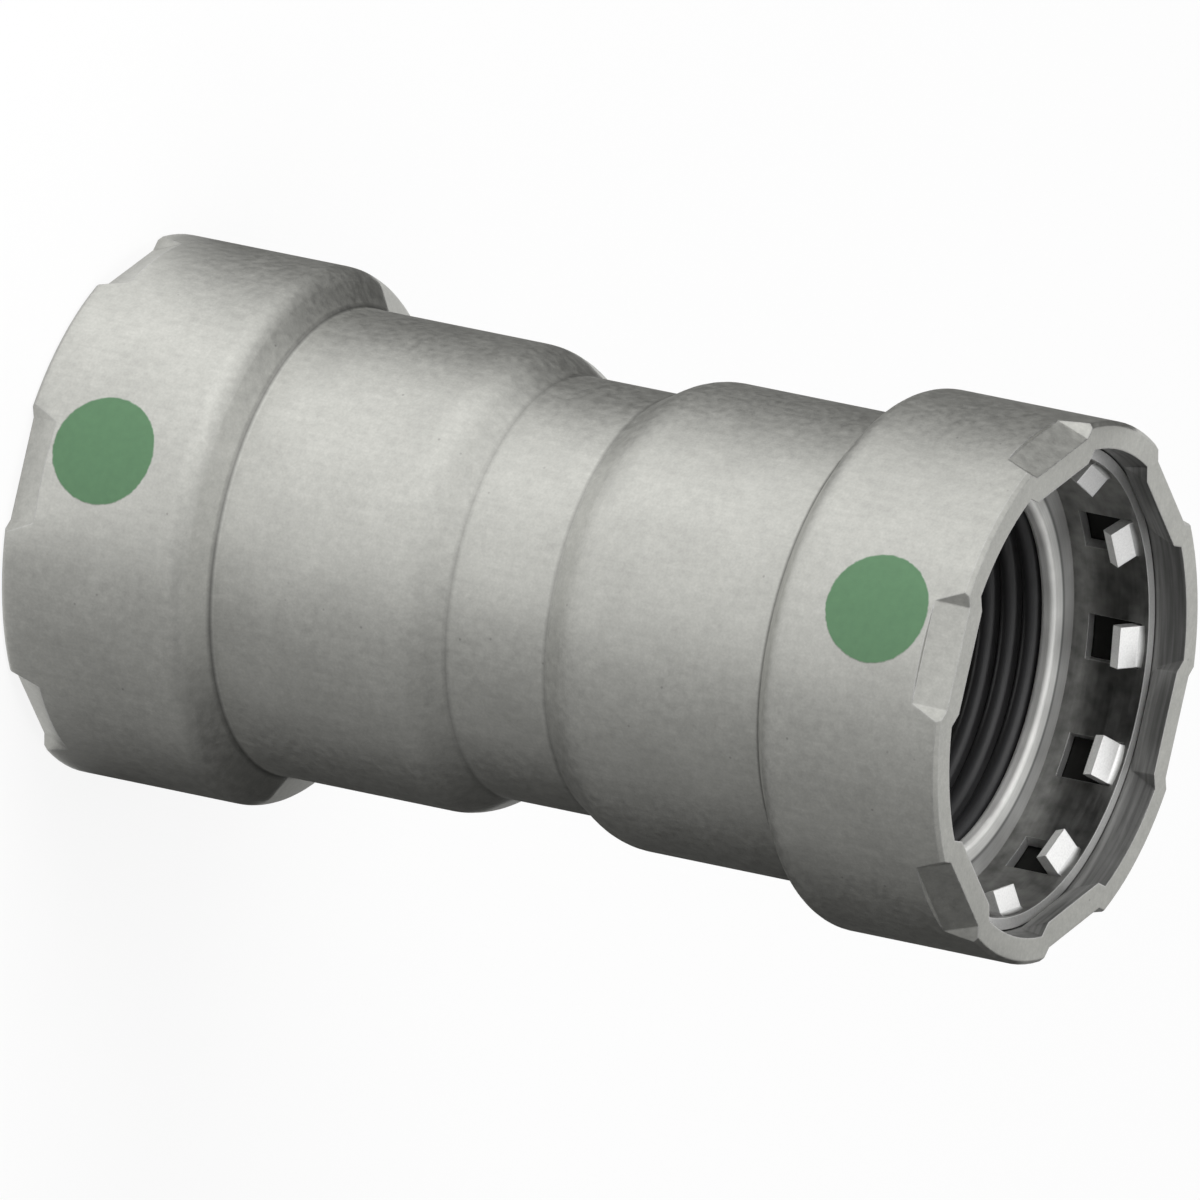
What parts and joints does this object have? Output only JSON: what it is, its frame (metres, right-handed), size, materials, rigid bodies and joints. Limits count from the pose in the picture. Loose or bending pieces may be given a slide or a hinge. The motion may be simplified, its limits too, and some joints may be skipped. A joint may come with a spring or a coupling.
{
  "type": "press fit pipe coupling",
  "caption": "Straight press coupling for steel pipe: plated steel body with crimped socket rings, and a grip ring, separator and rubber seal in each socket.",
  "frame": {"origin": "centre of the lower socket's rim, in the plane that the fitting stands on", "axes": "+Z along the pipe axis towards the upper socket's mouth; -Y is the side that the picture shows, with the green dots a little to -X of it"},
  "size_m": [0.04, 0.04, 0.0775],
  "materials": {
    "plated_steel": "satin grey zinc-nickel plating, green paint dot on each socket ring",
    "grip_steel": "stamped spring steel, semi-bright",
    "ring_steel": "satin stainless steel",
    "seal_rubber": "black, slightly oily"
  },
  "bodies": {
    "root": {"fitting_body": "plated_steel", "upper_grip_ring": "grip_steel", "upper_separator_ring": "ring_steel", "upper_sealing_element": "seal_rubber", "lower_grip_ring": "grip_steel", "lower_separator_ring": "ring_steel", "lower_sealing_element": "seal_rubber"}
  },
  "joints": []
}
